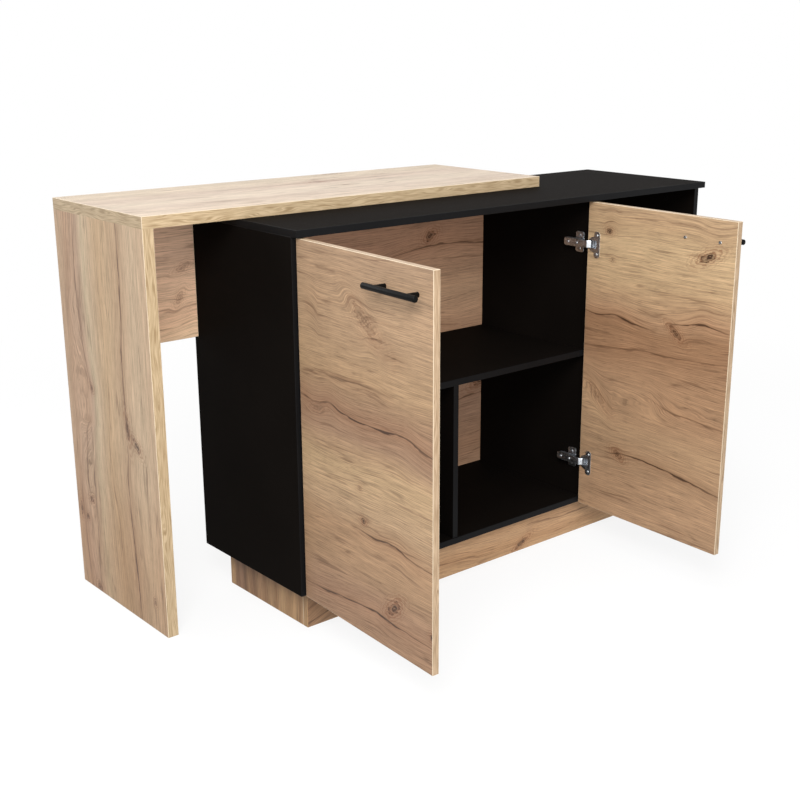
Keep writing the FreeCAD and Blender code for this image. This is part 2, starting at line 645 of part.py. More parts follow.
def hinge_arm(name, door, hand, height):
    """A hinge arm: an eye round the pin, a slanted nose out of the cup and a channel on the plate."""
    body = doc.addObject("PartDesign::Body", name)
    nose = start_sketch(body, "XY_Plane")
    far = f"{ARM_REACH} + arm_gauge"
    bevel = "(sqrt(2) - 1) * arm_gauge"
    path = (("0", f"-{EYE}"), (f"{far} - arm_slant", f"-{EYE}"), (far, f"arm_slant - {EYE}"),
            (far, f"arm_slant - {EYE} + {bevel}"), (ARM_REACH, f"arm_slant - {EYE} + {bevel}"),
            (f"{far} - arm_slant - {bevel}", f"arm_gauge - {EYE}"), ("0", f"arm_gauge - {EYE}"))
    outline(nose, [(handed(hand, x), y) for x, y in path])
    grow(body, nose, "arm_neck_width", both_ways=True)
    eye = start_sketch(body, "XY_Plane")
    circle(eye, ("0", "0"), f"2 * {EYE}")
    grow(body, eye, "arm_neck_width", both_ways=True)
    blade = start_sketch(body, "YZ_Plane", handed(hand, ARM_REACH))
    neck, shoulder = "arm_neck_width / 2", "(arm_neck_width / 2 + arm_shoulder_step)"
    start, end = f"arm_slant - {EYE}", f"{FRONT_EDGE} + arm_inside"
    widens = f"{FRONT_EDGE} + arm_shoulder_from_front"
    widest = f"{widens} + arm_shoulder"
    outline(blade, ((start, "-" + neck), (widens, "-" + neck), (widest, "-" + shoulder),
                    (end, "-" + shoulder), (end, shoulder), (widest, shoulder), (widens, neck), (start, neck)))
    grow(body, blade, "arm_gauge", backwards=hand < 0)
    box = body.Shape.BoundBox
    round_off(body, "arm_corner", lambda direction, middle:
              abs(direction.x) > 0.9 and abs(middle.y - box.YMax) + abs(abs(middle.z) - box.ZMax) < 0.01)
    for level in (f"{shoulder} - arm_side_wall", "-" + shoulder):
        side = start_sketch(body, "XY_Plane", level)
        rectangle(side, (handed(hand, f"{ARM_REACH} - arm_side"), handed(hand, ARM_REACH)),
                  (widest, f"{end} - arm_corner"))
        grow(body, side, "arm_side_wall")
    bore = start_sketch(body, "XY_Plane")
    circle(bore, ("0", "0"), "pin_diameter + 2 * pin_clearance")
    carve(body, bore, "arm_neck_width", both_ways=True)
    holes = start_sketch(body, "YZ_Plane", handed(hand, ARM_REACH))
    for along in ("arm_front_screw", "arm_back_screw"):
        circle(holes, (f"{FRONT_EDGE} + {along}", "0"), "arm_screw_diameter + 2 * fit_clearance")
    carve(body, holes, "arm_gauge", backwards=hand > 0)
    place(body, pivots[door], PIVOT_Y, height)
    nodes[name] = body


def hinge_plate(name, door, hand, height):
    """A hinge plate: two wings flat on the panel, and a rib that fills the height up to the arm."""
    body = doc.addObject("PartDesign::Body", name)
    seat = f"({FRONT_EDGE} + plate_from_front)"
    wings = start_sketch(body, "YZ_Plane", handed(hand, PANEL_FACE))
    rectangle(wings, (f"{seat} - plate_wing_width / 2", f"{seat} + plate_wing_width / 2"),
              ("-plate_wing_height / 2", "plate_wing_height / 2"))
    grow(body, wings, "plate_base", backwards=hand < 0)
    round_off(body, "plate_corner", lambda direction, middle: abs(direction.x) > 0.9)
    rib = start_sketch(body, "YZ_Plane", handed(hand, PANEL_FACE))
    rectangle(rib, (f"{FRONT_EDGE} + plate_rib_front", f"{FRONT_EDGE} + plate_rib_back"),
              ("-plate_rib_width / 2", "plate_rib_width / 2"))
    grow(body, rib, "plate_height", backwards=hand < 0)
    holes = start_sketch(body, "YZ_Plane", handed(hand, PANEL_FACE))
    for side in "+-":
        circle(holes, (seat, f"{side}plate_screw_spacing / 2"), WOOD_HOLE)
    carve(body, holes, "plate_base", backwards=hand > 0)
    threads = start_sketch(body, "YZ_Plane", handed(hand, ARM_REACH))
    for along in ("arm_front_screw", "arm_back_screw"):
        circle(threads, (f"{FRONT_EDGE} + {along}", "0"), "arm_screw_diameter + 2 * fit_clearance")
    carve(body, threads, "arm_screw_depth - arm_gauge + end_gap", backwards=hand < 0)
    place(body, pivots[door], PIVOT_Y, height)
    nodes[name] = body


pivots = {
    "left_door": f"({LEFT} + door_reveal + pivot_from_edge)",
    "right_door": f"({NICHE_LEFT} - door_reveal - pivot_from_edge)",
}
panels = {"left_door": "left_side_panel", "right_door": "divider_panel"}
doc.recompute()
for door, hand in (("left_door", 1), ("right_door", -1)):
    door_panel(door, hand)
    handle(door, hand)
    cup_screws = []
    inward = "-X" if hand > 0 else "+X"
    for level, height in hinge_heights.items():
        hinge = f"{door}_{level}_hinge"
        hinge_cup(hinge + "_cup", door, hand, height)
        hinge_arm(hinge + "_arm", door, hand, height)
        hinge_plate(hinge + "_plate", door, hand, height)
        foot = (pivots[door], PIVOT_Y, f"{height} - pin_length / 2")
        nodes[hinge + "_pin"] = rod(hinge + "_pin_rod", "pin_diameter", "pin_length", foot, "+Z")
        wing = f"{pivots[door]} + {handed(hand, PANEL_FACE + ' + plate_base')}"
        blade = f"{pivots[door]} + {handed(hand, ARM_REACH + ' + arm_gauge')}"
        for end, side in (("high", "+"), ("low", "-")):
            flange_hole = f"{height} {side} cup_screw_spacing / 2"
            seat = (handed(hand, CUP_SCREWS), "pivot_depth + flange_thickness", flange_hole)
            cup_screws.append(copy_of(wood_screw, f"{hinge}_{end}_screw", seat, "-Y"))
            seat = (wing, f"{FRONT} + plate_from_front", f"{height} {side} plate_screw_spacing / 2")
            name = next_name("hinge_plate_screws")
            groups["hinge_plate_screws"].append(copy_of(wood_screw, name, seat, inward))
            drill(rod(name + "_bore", WOOD_HOLE, "wood_screw_length + end_gap", seat, inward), panels[door])
        for along in ("arm_front_screw", "arm_back_screw"):
            seat = (blade, f"{FRONT} + {along}", height)
            name = next_name("hinge_arm_screws")
            groups["hinge_arm_screws"].append(copy_of(arm_screw, name, seat, inward))
    hang(gather(door + "_hinge_cup_screws", cup_screws), door, hand, "0")

# Drill the boards, then gather the groups of like pieces.
for name, blank in blanks.items():
    nodes[name] = blank
    if name in bores:
        holes = doc.addObject("Part::Compound", name + "_holes")
        holes.Links = bores[name]
        drilled = doc.addObject("Part::Cut", name + "_drilled")
        drilled.Base = blank
        drilled.Tool = holes
        nodes[name] = drilled
for label, pieces in groups.items():
    gather(label, pieces)
doc.recompute()

# Name the nodes, check every object and shape, and write one file for each node.
for label, node in nodes.items():
    node.Label = label
for thing in doc.Objects:
    if "Invalid" in thing.State or "Error" in thing.State:
        raise RuntimeError(f"{thing.Name} could not be built")
for label, node in nodes.items():
    if node.Shape.isNull() or not node.Shape.isValid() or not node.Shape.Solids:
        raise RuntimeError(f"{label} has no sound shape")
os.makedirs("parts", exist_ok=True)
for label, node in nodes.items():
    node.Shape.exportStep(f"parts/{label}.step")
print(len(nodes), "nodes written")
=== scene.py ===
# A kitchen island: a black cabinet on an oak plinth, two oak doors on cup hinges, an open niche at the
# right end, and an oak breakfast bar that laps over the cabinet top and stands on a panel leg.
import math

import bmesh
import bpy
from mathutils import Matrix, Vector


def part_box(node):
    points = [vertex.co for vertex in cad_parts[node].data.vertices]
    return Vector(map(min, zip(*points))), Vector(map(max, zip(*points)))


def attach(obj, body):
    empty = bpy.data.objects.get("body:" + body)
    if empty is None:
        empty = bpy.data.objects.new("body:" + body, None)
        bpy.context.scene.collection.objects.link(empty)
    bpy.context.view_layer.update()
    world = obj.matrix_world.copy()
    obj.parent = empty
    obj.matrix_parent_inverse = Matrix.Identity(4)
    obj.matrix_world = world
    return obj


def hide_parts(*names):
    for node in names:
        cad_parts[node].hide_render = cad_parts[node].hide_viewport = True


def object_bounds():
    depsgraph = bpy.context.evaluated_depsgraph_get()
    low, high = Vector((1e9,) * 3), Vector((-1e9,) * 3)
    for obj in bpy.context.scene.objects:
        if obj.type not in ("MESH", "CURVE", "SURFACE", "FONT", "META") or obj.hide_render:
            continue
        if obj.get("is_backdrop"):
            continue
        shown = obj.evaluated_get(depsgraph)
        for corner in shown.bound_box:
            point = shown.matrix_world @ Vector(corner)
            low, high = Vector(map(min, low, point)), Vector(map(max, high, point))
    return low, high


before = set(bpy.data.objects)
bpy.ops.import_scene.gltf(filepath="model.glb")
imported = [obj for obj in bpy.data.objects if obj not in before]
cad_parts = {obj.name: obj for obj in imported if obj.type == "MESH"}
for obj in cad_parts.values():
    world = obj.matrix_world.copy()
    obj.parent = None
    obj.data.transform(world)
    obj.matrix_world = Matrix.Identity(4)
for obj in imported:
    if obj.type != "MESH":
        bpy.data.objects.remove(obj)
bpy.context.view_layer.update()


# Plinth
# Five strips of chipboard faced with printed oak paper, four round the rim and one across the middle.
# They are butted and dowelled under the bottom panel, and the long strips' ends show at the corners.

def linear(hex_colour):
    """An sRGB hex colour as the linear colour that the shaders work in."""
    steps = [int(hex_colour[i:i + 2], 16) / 255 for i in (1, 3, 5)]
    return [s / 12.92 if s <= 0.04045 else ((s + 0.055) / 1.055) ** 2.4 for s in steps] + [1.0]


def put(tree, kind, *fed, **settings):
    """Adds one node. Its settings are set by name, and each fed pair gives an input a value, a link from
    a socket, or a link from a node's first socket."""
    node = tree.nodes.new(kind)
    for key, value in settings.items():
        setattr(node, key, value)
    for key, value in fed:
        if isinstance(value, bpy.types.Node):
            value = value.outputs[0]
        if isinstance(value, bpy.types.NodeSocket):
            tree.links.new(value, node.inputs[key])
        else:
            node.inputs[key].default_value = value
    return node


def new_finish(name):
    """A material whose nodes are still to be put in, and its node tree."""
    material = bpy.data.materials.new(name)
    material.use_nodes = True
    material.node_tree.nodes.clear()
    return material, material.node_tree


# settings that many nodes share: a soft step, and noise that lies flat on a sheet
eased = {"interpolation_type": "SMOOTHSTEP"}
on_sheet = {"noise_dimensions": "2D"}


def oak_figure():
    """The figure of the printed oak as a node group, from a place on the sheet in metres, u along the grain.
    It gives how far the figure sways across the grain, how light or dark its bands, rings, streaks, fibres
    and pores are together, about 1 on the whole, and where brown flakes and dark hairlines show."""
    tree = bpy.data.node_groups.new("oak figure", "ShaderNodeTree")
    tree.interface.new_socket("Place", in_out="INPUT", socket_type="NodeSocketVector")
    for part in ("Sway", "Grain", "Flakes", "Hairs"):
        tree.interface.new_socket(part, in_out="OUTPUT", socket_type="NodeSocketFloat")
    place = put(tree, "NodeGroupInput").outputs["Place"]
    # length along the grain and width across it of each layer's marks in mm; fibres and pores are about
    # 0.3 mm wide on the real paper and are drawn at about 1.5 mm so that they show
    noise = {}
    for layer, along, across, detail in (
        ("wander", 620, 150, 2.0),
        ("bands", 520, 36, 3.0),
        ("flakes", 190, 10, 5.0),
        ("hairs", 560, 50, 4.0),
        ("streaks", 230, 5.5, 3.0),
        ("fibres", 85, 1.4, 3.0),
        ("pores", 26, 1.6, 1.0),
    ):
        per_metre = (1000 / along, 1000 / across, 0)
        scaled = put(tree, "ShaderNodeVectorMath", (0, place), (1, per_metre), operation="MULTIPLY")
        noise[layer] = put(
            tree, "ShaderNodeTexNoise", (0, scaled), ("Scale", 1), ("Detail", detail), **on_sheet
        )
        if layer == "wander":
            # the layers after this one sway with it, up to 11 mm each way
            sway = put(
                tree, "ShaderNodeMapRange", (0, noise[layer]), (1, 0.2), (2, 0.8), (3, -0.011), (4, 0.011)
            )
            moved = put(tree, "ShaderNodeCombineXYZ", (1, sway))
            place = put(tree, "ShaderNodeVectorMath", (0, place), (1, moved))
    # ring lines every 9 mm, bent by the bands into long arches, and only in some places
    ring_width = 0.009
    across = put(tree, "ShaderNodeSeparateXYZ", (0, place)).outputs["Y"]
    phase = put(tree, "ShaderNodeMath", (0, across), (1, 2 * math.pi / ring_width), operation="MULTIPLY")
    arched = put(tree, "ShaderNodeMath", (0, noise["bands"]), (1, 16.0), (2, phase), operation="MULTIPLY_ADD")
    wave = put(tree, "ShaderNodeMath", (0, arched), operation="SINE")
    line = put(tree, "ShaderNodeMapRange", (0, wave), (1, 0.2), (2, 1.0), **eased)
    where = put(tree, "ShaderNodeMapRange", (0, noise["wander"]), (1, 0.48), (2, 0.64), **eased)
    rings = put(tree, "ShaderNodeMath", (0, line), (1, where), operation="MULTIPLY")
    pores = put(tree, "ShaderNodeMapRange", (0, noise["pores"]), (1, 0.56), (2, 0.68), **eased)
    # light and dark of all layers together
    grain = 1.03
    for layer, amount in (("bands", 0.36), ("streaks", 0.36), ("fibres", 1.25)):
        level = put(tree, "ShaderNodeMath", (0, noise[layer]), (1, 0.5), operation="SUBTRACT")
        grain = put(tree, "ShaderNodeMath", (0, level), (1, amount), (2, grain), operation="MULTIPLY_ADD")
    for marks, amount in ((rings, -0.07), (pores, -0.16)):
        grain = put(tree, "ShaderNodeMath", (0, marks), (1, amount), (2, grain), operation="MULTIPLY_ADD")
    # torn brown flakes, and hairlines along the levels of a long noise where the flakes come near
    flakes = put(tree, "ShaderNodeMapRange", (0, noise["flakes"]), (1, 0.58), (2, 0.80), **eased)
    level = put(tree, "ShaderNodeMath", (0, noise["hairs"]), (1, 0.5), operation="SUBTRACT")
    level = put(tree, "ShaderNodeMath", (0, level), operation="ABSOLUTE")
    hair = put(tree, "ShaderNodeMapRange", (0, level), (1, 0.006), (2, 0.028), (3, 1), (4, 0))
    near = put(tree, "ShaderNodeMapRange", (0, noise["flakes"]), (1, 0.47), (2, 0.63), **eased)
    hairs = put(tree, "ShaderNodeMath", (0, hair), (1, near), operation="MULTIPLY")
    put(tree, "NodeGroupOutput", ("Sway", sway), ("Grain", grain), ("Flakes", flakes), ("Hairs", hairs))
    return tree


oak_sheet = oak_figure()


def oak_knot(tree, place, bent, ragged, along, across, half_length, half_width, tilt, dark):
    """A knot with its growth rings, in mm and degrees. It gives the figure's place, bent round the knot, and
    the knot's marks, each a strength and a shade."""
    centre = (along / 1000, across / 1000, 0)
    halves = (half_length / 1000, half_width / 1000, 1)
    inside = put(
        tree, "ShaderNodeMapping", (0, place), (1, centre), (2, (0, 0, math.radians(tilt))), (3, halves),
        vector_type="TEXTURE",
    )
    smooth = put(tree, "ShaderNodeVectorMath", (0, inside), operation="LENGTH").outputs["Value"]
    rough = put(tree, "ShaderNodeMath", (0, ragged), (1, 2.4), (2, smooth), operation="MULTIPLY_ADD")
    rough = put(tree, "ShaderNodeMath", (0, rough), (1, 1.2), operation="SUBTRACT")
    # the figure parts round the knot
    swell = put(tree, "ShaderNodeMapRange", (0, smooth), (1, 0), (2, 3.6), (3, -0.7), (4, 0), **eased)
    arm = put(tree, "ShaderNodeVectorMath", (0, place), (1, centre), operation="SUBTRACT")
    pull = put(tree, "ShaderNodeVectorMath", (0, arm), ("Scale", swell), operation="SCALE")
    bent = put(tree, "ShaderNodeVectorMath", (0, pull), (1, (0, 1, 0)), (2, bent), operation="MULTIPLY_ADD")
    # growth rings inside the knot, and fainter ones round it
    count = put(tree, "ShaderNodeMath", (0, ragged), (1, 1.1), (2, smooth), operation="MULTIPLY_ADD")
    wave = put(tree, "ShaderNodeMath", (0, count), (1, 9.0), operation="MULTIPLY")
    wave = put(tree, "ShaderNodeMath", (0, wave), operation="SINE")
    lines = put(tree, "ShaderNodeMapRange", (0, wave), (1, -0.2), (2, 1.0), **eased)
    fading = put(tree, "ShaderNodeMapRange", (0, count), (1, 1.6), (2, 4.6), (3, 0.62 * dark), (4, 0))
    marks = [(put(tree, "ShaderNodeMath", (0, lines), (1, fading), operation="MULTIPLY"), "#7A4E33")]
    turns = put(tree, "ShaderNodeMapRange", (0, wave), (1, -1), (2, 1), (3, 0.4), (4, 1))
    # a brown stain, and the dark core
    for inner, outer, most, shade in ((0.5, 2.6, 0.66, "#85563A"), (0.6, 1.25, 1.0, "#2E1D12")):
        mark = put(
            tree, "ShaderNodeMapRange", (0, rough), (1, inner), (2, outer), (3, most * dark), (4, 0), **eased
        )
        marks.append((put(tree, "ShaderNodeMath", (0, mark), (1, turns), operation="MULTIPLY"), shade))
    return bent, marks


def oak_crack(tree, place, bent, drift, points, dark):
    """A crack with its brown stain, along points in mm. It gives what a knot gives."""
    sheet = put(tree, "ShaderNodeSeparateXYZ", (0, place)).outputs
    path = [(u / 1000, v / 1000) for u, v in points]
    first, last = path[0][0], path[-1][0]
    ends = [
        (first - 0.02, 0), (first + 0.03, 0.7), ((first + last) / 2, 1), (last - 0.03, 0.7), (last + 0.02, 0),
    ]
    middle = put(tree, "ShaderNodeFloatCurve", (1, sheet["X"]))
    strength = put(tree, "ShaderNodeFloatCurve", (1, sheet["X"]))
    for curve, stops in ((middle, path), (strength, ends)):
        line = curve.mapping.curves[0].points
        for u, v in stops[1:-1]:
            line.new(u, v)
        line[0].location = stops[0]
        line[-1].location = stops[-1]
        curve.mapping.extend = "HORIZONTAL"
        curve.mapping.use_clip = False
        curve.mapping.update()
    # how far a place is from the crack, which wavers 4.5 mm each way
    waver = 0.0045
    off = put(tree, "ShaderNodeMath", (0, sheet["Y"]), (1, middle), operation="SUBTRACT")
    off = put(tree, "ShaderNodeMath", (0, drift), (1, 2 * waver), (2, off), operation="MULTIPLY_ADD")
    off = put(tree, "ShaderNodeMath", (0, off), (1, waver), operation="SUBTRACT")
    off = put(tree, "ShaderNodeMath", (0, off), operation="ABSOLUTE")
    broken = put(tree, "ShaderNodeMapRange", (0, drift), (1, 0.30), (2, 0.52), (3, 0.62), (4, 1))
    broken = put(tree, "ShaderNodeMath", (0, broken), (1, strength), operation="MULTIPLY")
    # the figure runs along the crack near it
    near = put(tree, "ShaderNodeMapRange", (0, off), (1, 0), (2, 0.08), (3, 1), (4, 0), **eased)
    mean = sum(v for u, v in points) / len(points) / 1000
    rise = put(tree, "ShaderNodeMath", (0, mean), (1, middle), operation="SUBTRACT")
    rise = put(tree, "ShaderNodeMath", (0, rise), (1, near), operation="MULTIPLY")
    moved = put(tree, "ShaderNodeCombineXYZ", (1, rise))
    bent = put(tree, "ShaderNodeVectorMath", (0, bent), (1, moved))
    # a wide stain, a narrow one, and the crack itself, now thin and now thick
    thin = put(tree, "ShaderNodeMapRange", (0, drift), (1, 0.30), (2, 0.70), (3, 1.9), (4, 0.8))
    core = put(tree, "ShaderNodeMath", (0, off), (1, thin), operation="MULTIPLY")
    marks = []
    for gap, inner, outer, most, shade in (
        (off, 0.0, 0.040, 0.22, "#96694A"),
        (off, 0.0, 0.009, 0.30, "#8F6243"),
        (core, 0.0012, 0.0031, 1.0, "#3A2417"),
    ):
        edge = put(tree, "ShaderNodeMapRange", (0, gap), (1, inner), (2, outer), (3, most * dark), (4, 0))
        marks.append((put(tree, "ShaderNodeMath", (0, edge), (1, broken), operation="MULTIPLY"), shade))
    return bent, marks


def oak_face(name, shift, bands, knots=(), cracks=(), painted_shade=None):
    """Printed oak paper under a clear melamine coat: satin, with a dry grain that can be felt.
    Each band is (across, shade), each knot (along, across, half length, half width, tilt in degrees,
    darkness) and each crack (points along and across, darkness), in mm from the sheet's corner. The figure
    bends round both. A painted shade (from, to, tint) multiplies the sheet by the tint more and more along
    the grain: shade painted into the colour where the piece stands in less light."""
    material, tree = new_finish(name)
    place = put(tree, "ShaderNodeUVMap", uv_map="sheet")
    # a ragged edge for the knots, in marks of about 14 mm by 5 mm
    scaled = put(tree, "ShaderNodeVectorMath", (0, place), (1, (70, 190, 0)), operation="MULTIPLY")
    ragged = put(tree, "ShaderNodeTexNoise", (0, scaled), ("Scale", 1), ("Detail", 4), **on_sheet)
    # and a slow drift for the cracks' line and thickness, of about 60 mm by 20 mm
    scaled = put(tree, "ShaderNodeVectorMath", (0, place), (1, (16, 50, 0)), operation="MULTIPLY")
    drift = put(tree, "ShaderNodeTexNoise", (0, scaled), ("Scale", 1), ("Detail", 2), **on_sheet)
    bent = place
    marks = []
    for knot in knots:
        bent, drawn = oak_knot(tree, place, bent, ragged, *knot)
        marks += drawn
    for points, dark in cracks:
        bent, drawn = oak_crack(tree, place, bent, drift, points, dark)
        marks += drawn
    printed = put(tree, "ShaderNodeVectorMath", (0, bent), (1, (*shift, 0)))
    figure = put(tree, "ShaderNodeGroup", ("Place", printed), node_tree=oak_sheet).outputs
    # the broad tones lie across the grain and sway with the figure
    width = bands[-1][0]
    across = put(tree, "ShaderNodeSeparateXYZ", (0, bent)).outputs["Y"]
    across = put(tree, "ShaderNodeMath", (0, across), (1, figure["Sway"]), operation="ADD")
    across = put(tree, "ShaderNodeMath", (0, across), (1, width / 1000), operation="DIVIDE")
    tones = put(tree, "ShaderNodeValToRGB", (0, across))
    stops = tones.color_ramp.elements
    for at, shade in bands[1:-1]:
        stops.new(at / width).color = linear(shade)
    stops[0].color = linear(bands[0][1])
    stops[-1].color = linear(bands[-1][1])
    colour = put(
        tree, "ShaderNodeVectorMath", (0, tones), ("Scale", figure["Grain"]), operation="SCALE"
    ).outputs[0]
    # painted shade: the colour is multiplied by the tint more and more along the grain
    if painted_shade:
        start, end, tint = painted_shade
        along = put(tree, "ShaderNodeSeparateXYZ", (0, place))
        share = put(tree, "ShaderNodeMapRange", (0, along), (1, start / 1000), (2, end / 1000), **eased)
        colour = put(
            tree, "ShaderNodeMix", (0, share), (6, colour), (7, linear(tint)), data_type="RGBA",
            blend_type="MULTIPLY",
        ).outputs[2]
    for part, most, shade in (("Flakes", 0.16, "#93694C"), ("Hairs", 0.46, "#5B3F2D")):
        mark = put(tree, "ShaderNodeMath", (0, figure[part]), (1, most), operation="MULTIPLY")
        marks.insert(0, (mark, shade))
    for strength, shade in marks:
        colour = put(
            tree, "ShaderNodeMix", (0, strength), (6, colour), (7, linear(shade)), data_type="RGBA"
        ).outputs[2]
    rough = put(tree, "ShaderNodeMapRange", (0, figure["Grain"]), (1, 0.7), (2, 1.2), (3, 0.60), (4, 0.48))
    relief = put(
        tree, "ShaderNodeBump", ("Strength", 0.25), ("Distance", 0.0004), ("Height", figure["Grain"])
    )
    shader = put(
        tree, "ShaderNodeBsdfPrincipled", ("Base Color", colour), ("Roughness", rough), ("Normal", relief),
        ("IOR", 1.5), ("Specular IOR Level", 0.35),
    )
    put(tree, "ShaderNodeOutputMaterial", ("Surface", shader))
    return material


def oak_edge_band(name, dark, pale):
    """Oak edge band, 0.8 mm of printed plastic glued on the sawn edge: paler and yellower than the faces,
    with a fine wavy grain along the edge, and a bare bright line where its corners are scraped round."""
    material, tree = new_finish(name)
    place = put(tree, "ShaderNodeUVMap", uv_map="sheet")
    # waves 130 mm long, then streaks 50 mm by 1.7 mm
    scaled = put(tree, "ShaderNodeVectorMath", (0, place), (1, (7.7, 60, 0)), operation="MULTIPLY")
    sway = put(tree, "ShaderNodeTexNoise", (0, scaled), ("Scale", 1), ("Detail", 1), **on_sheet)
    sway = put(tree, "ShaderNodeMapRange", (0, sway), (3, -0.01), (4, 0.01))
    moved = put(tree, "ShaderNodeCombineXYZ", (1, sway))
    place = put(tree, "ShaderNodeVectorMath", (0, place), (1, moved))
    scaled = put(tree, "ShaderNodeVectorMath", (0, place), (1, (20, 590, 0)), operation="MULTIPLY")
    streaks = put(tree, "ShaderNodeTexNoise", (0, scaled), ("Scale", 1), ("Detail", 3), **on_sheet)
    tones = put(tree, "ShaderNodeValToRGB", (0, streaks))
    for stop, at, shade in zip(tones.color_ramp.elements, (0.32, 0.62), (dark, pale)):
        stop.position = at
        stop.color = linear(shade)
    corner = put(tree, "ShaderNodeAttribute", attribute_name="arris").outputs["Fac"]
    colour = put(
        tree, "ShaderNodeMix", (0, corner), (6, tones), (7, linear("#D8C7AC")), data_type="RGBA"
    ).outputs[2]
    relief = put(tree, "ShaderNodeBump", ("Strength", 0.2), ("Distance", 0.0003), ("Height", streaks))
    shader = put(
        tree, "ShaderNodeBsdfPrincipled", ("Base Color", colour), ("Roughness", 0.42), ("IOR", 1.5),
        ("Normal", relief),
    )
    put(tree, "ShaderNodeOutputMaterial", ("Surface", shader))
    return material


def cad_shape(node, turn=None):
    """A copy of a CAD node's shape with its seams welded, turned back first where a turn is given."""
    weld = 0.00001
    shape = bmesh.new()
    shape.from_mesh(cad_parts[node].data)
    if turn:
        shape.transform(turn.inverted())
    bmesh.ops.remove_doubles(shape, verts=shape.verts[:], dist=weld)
    return shape


def join_flat_faces(shape):
    """Makes one face of the triangles that lie flat against each other."""
    flat = 0.005
    bmesh.ops.dissolve_limit(shape, angle_limit=flat, verts=shape.verts[:], edges=shape.edges[:])


def added(name, data):
    """A new object in the scene."""
    thing = bpy.data.objects.new(name, data)
    bpy.context.collection.objects.link(thing)
    return thing


x_axis, z_axis = 0, 2
board_arris = 0.0008


def board(node, grain, face, back, band, body="cabinet", turn=None, half_turn=True, square=()):
    """A board in place of its CAD node: the same bores, with its outer arrises eased, apart from the rims of
    the square sides, each an axis and -1 or 1. UV map "sheet" is in metres with u along the grain axis, on
    the face towards plus and, turned half round, on the back. The edges take the band from a long roll."""
    touch = 0.00002
    near_right_angle = 1.5
    along_axis = 0.995
    shape = cad_shape(node, turn)
    join_flat_faces(shape)
    low = Vector([min(v.co[i] for v in shape.verts) for i in range(3)])
    high = Vector([max(v.co[i] for v in shape.verts) for i in range(3)])
    size = high - low
    thin = min(range(3), key=lambda i: size[i])
    cross = 3 - grain - thin

    def sides(vert):
        return [vert.co[i] - low[i] < touch or high[i] - vert.co[i] < touch for i in range(3)]

    def stays_square(edge):
        levels = [(i, high[i] if side > 0 else low[i]) for i, side in square]
        return any(all(abs(v.co[i] - level) < touch for v in edge.verts) for i, level in levels)

    rims = []
    for edge in shape.edges:
        shared = sum(a and b for a, b in zip(sides(edge.verts[0]), sides(edge.verts[1])))
        if shared >= 2 and edge.calc_face_angle(0) > near_right_angle and not stays_square(edge):
            rims.append(edge)
    bmesh.ops.bevel(shape, geom=rims, offset=board_arris, segments=2, profile=0.5, affect="EDGES")
    sheet = shape.loops.layers.uv.new("sheet")
    arris = shape.faces.layers.float.new("arris")
    # each board's bands start one step further along the roll than those of the board before it
    roll_step = 0.37
    start = len(bpy.data.meshes) * roll_step
    for polygon in shape.faces:
        polygon.normal_update()
        way = max(range(3), key=lambda i: abs(polygon.normal[i]))
        polygon[arris] = 1.0 if abs(polygon.normal[way]) < along_axis else 0.0
        edge = way != thin or polygon[arris]
        polygon.material_index = 2 if edge else 0 if polygon.normal[thin] > 0 else 1
        run = max((i for i in range(3) if i != way), key=lambda i: size[i])
        for corner in polygon.loops:
            p = corner.vert.co
            if edge:
                corner[sheet].uv = (p[run] + start, p[3 - run - way] + start)
            elif polygon.normal[thin] < 0 and half_turn:
                corner[sheet].uv = (high[grain] - p[grain], high[cross] - p[cross])
            else:
                corner[sheet].uv = (p[grain] - low[grain], p[cross] - low[cross])
    if turn:
        shape.transform(turn)
    mesh = bpy.data.meshes.new(node + "_board")
    shape.to_mesh(mesh)
    shape.free()
    for material in (face, back, band):
        mesh.materials.append(material)
    piece = added(node + "_board", mesh)
    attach(piece, body)
    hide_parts(node)


oak_band = oak_edge_band("oak edge band", "#927759", "#B89E81")
plinth_cross_oak = oak_face(
    "oak melamine plinth ends", (3.1, 4.4),
    bands=[
        (0, "#A17E5D"), (14, "#7A5A40"), (30, "#98755A"), (48, "#74553C"), (62, "#A07C5A"), (84, "#7E5D42"),
        (104, "#A98562"), (126, "#8E6B4C"), (150, "#AF8C67"), (172, "#94704F"), (196, "#C09C74"),
        (222, "#A07C58"), (246, "#BC976F"), (268, "#9B7755"), (288, "#C4A17A"), (307, "#AC8963"),
    ],
)
plinth_long_oak = oak_face(
    "oak melamine plinth front", (8.3, 1.7),
    bands=[(0, "#B08864"), (30, "#BA9672"), (60, "#AE8864"), (95, "#BC9974")],
    knots=[(556, 77, 21, 6, 27, 0.85), (905, 30, 10, 5, -6, 0.7)],
    cracks=[
        ([(40, 24), (200, 30), (330, 40), (520, 34)], 0.6),
        ([(700, 70), (860, 58), (1000, 62)], 0.5),
        # the two short cracks at the left end are dark streaks in the print, and their wide stains also paint
        # in the shade there
        ([(1080, 86), (1140, 88), (1205, 86)], 0.9),
        ([(1090, 52), (1150, 49), (1207, 52)], 0.5),
    ],
    # painted shade: the front darkens towards its left end, where the open left door and the cabinet shade it
    painted_shade=(960, 1190, "#BCB8B8"),
)
for name in ("plinth_front", "plinth_back"):
    board(name, x_axis, plinth_long_oak, plinth_long_oak, plinth_cross_oak)
for name in ("plinth_left", "plinth_right", "plinth_brace"):
    board(name, z_axis, plinth_cross_oak, plinth_cross_oak, oak_band)


# Cabinet boards
# Two sides, the bottom, the divider of the niche and the top, of chipboard faced with black melamine.
# They are dowelled and drawn together with cams; the top lies over the sides and laps over the doors.

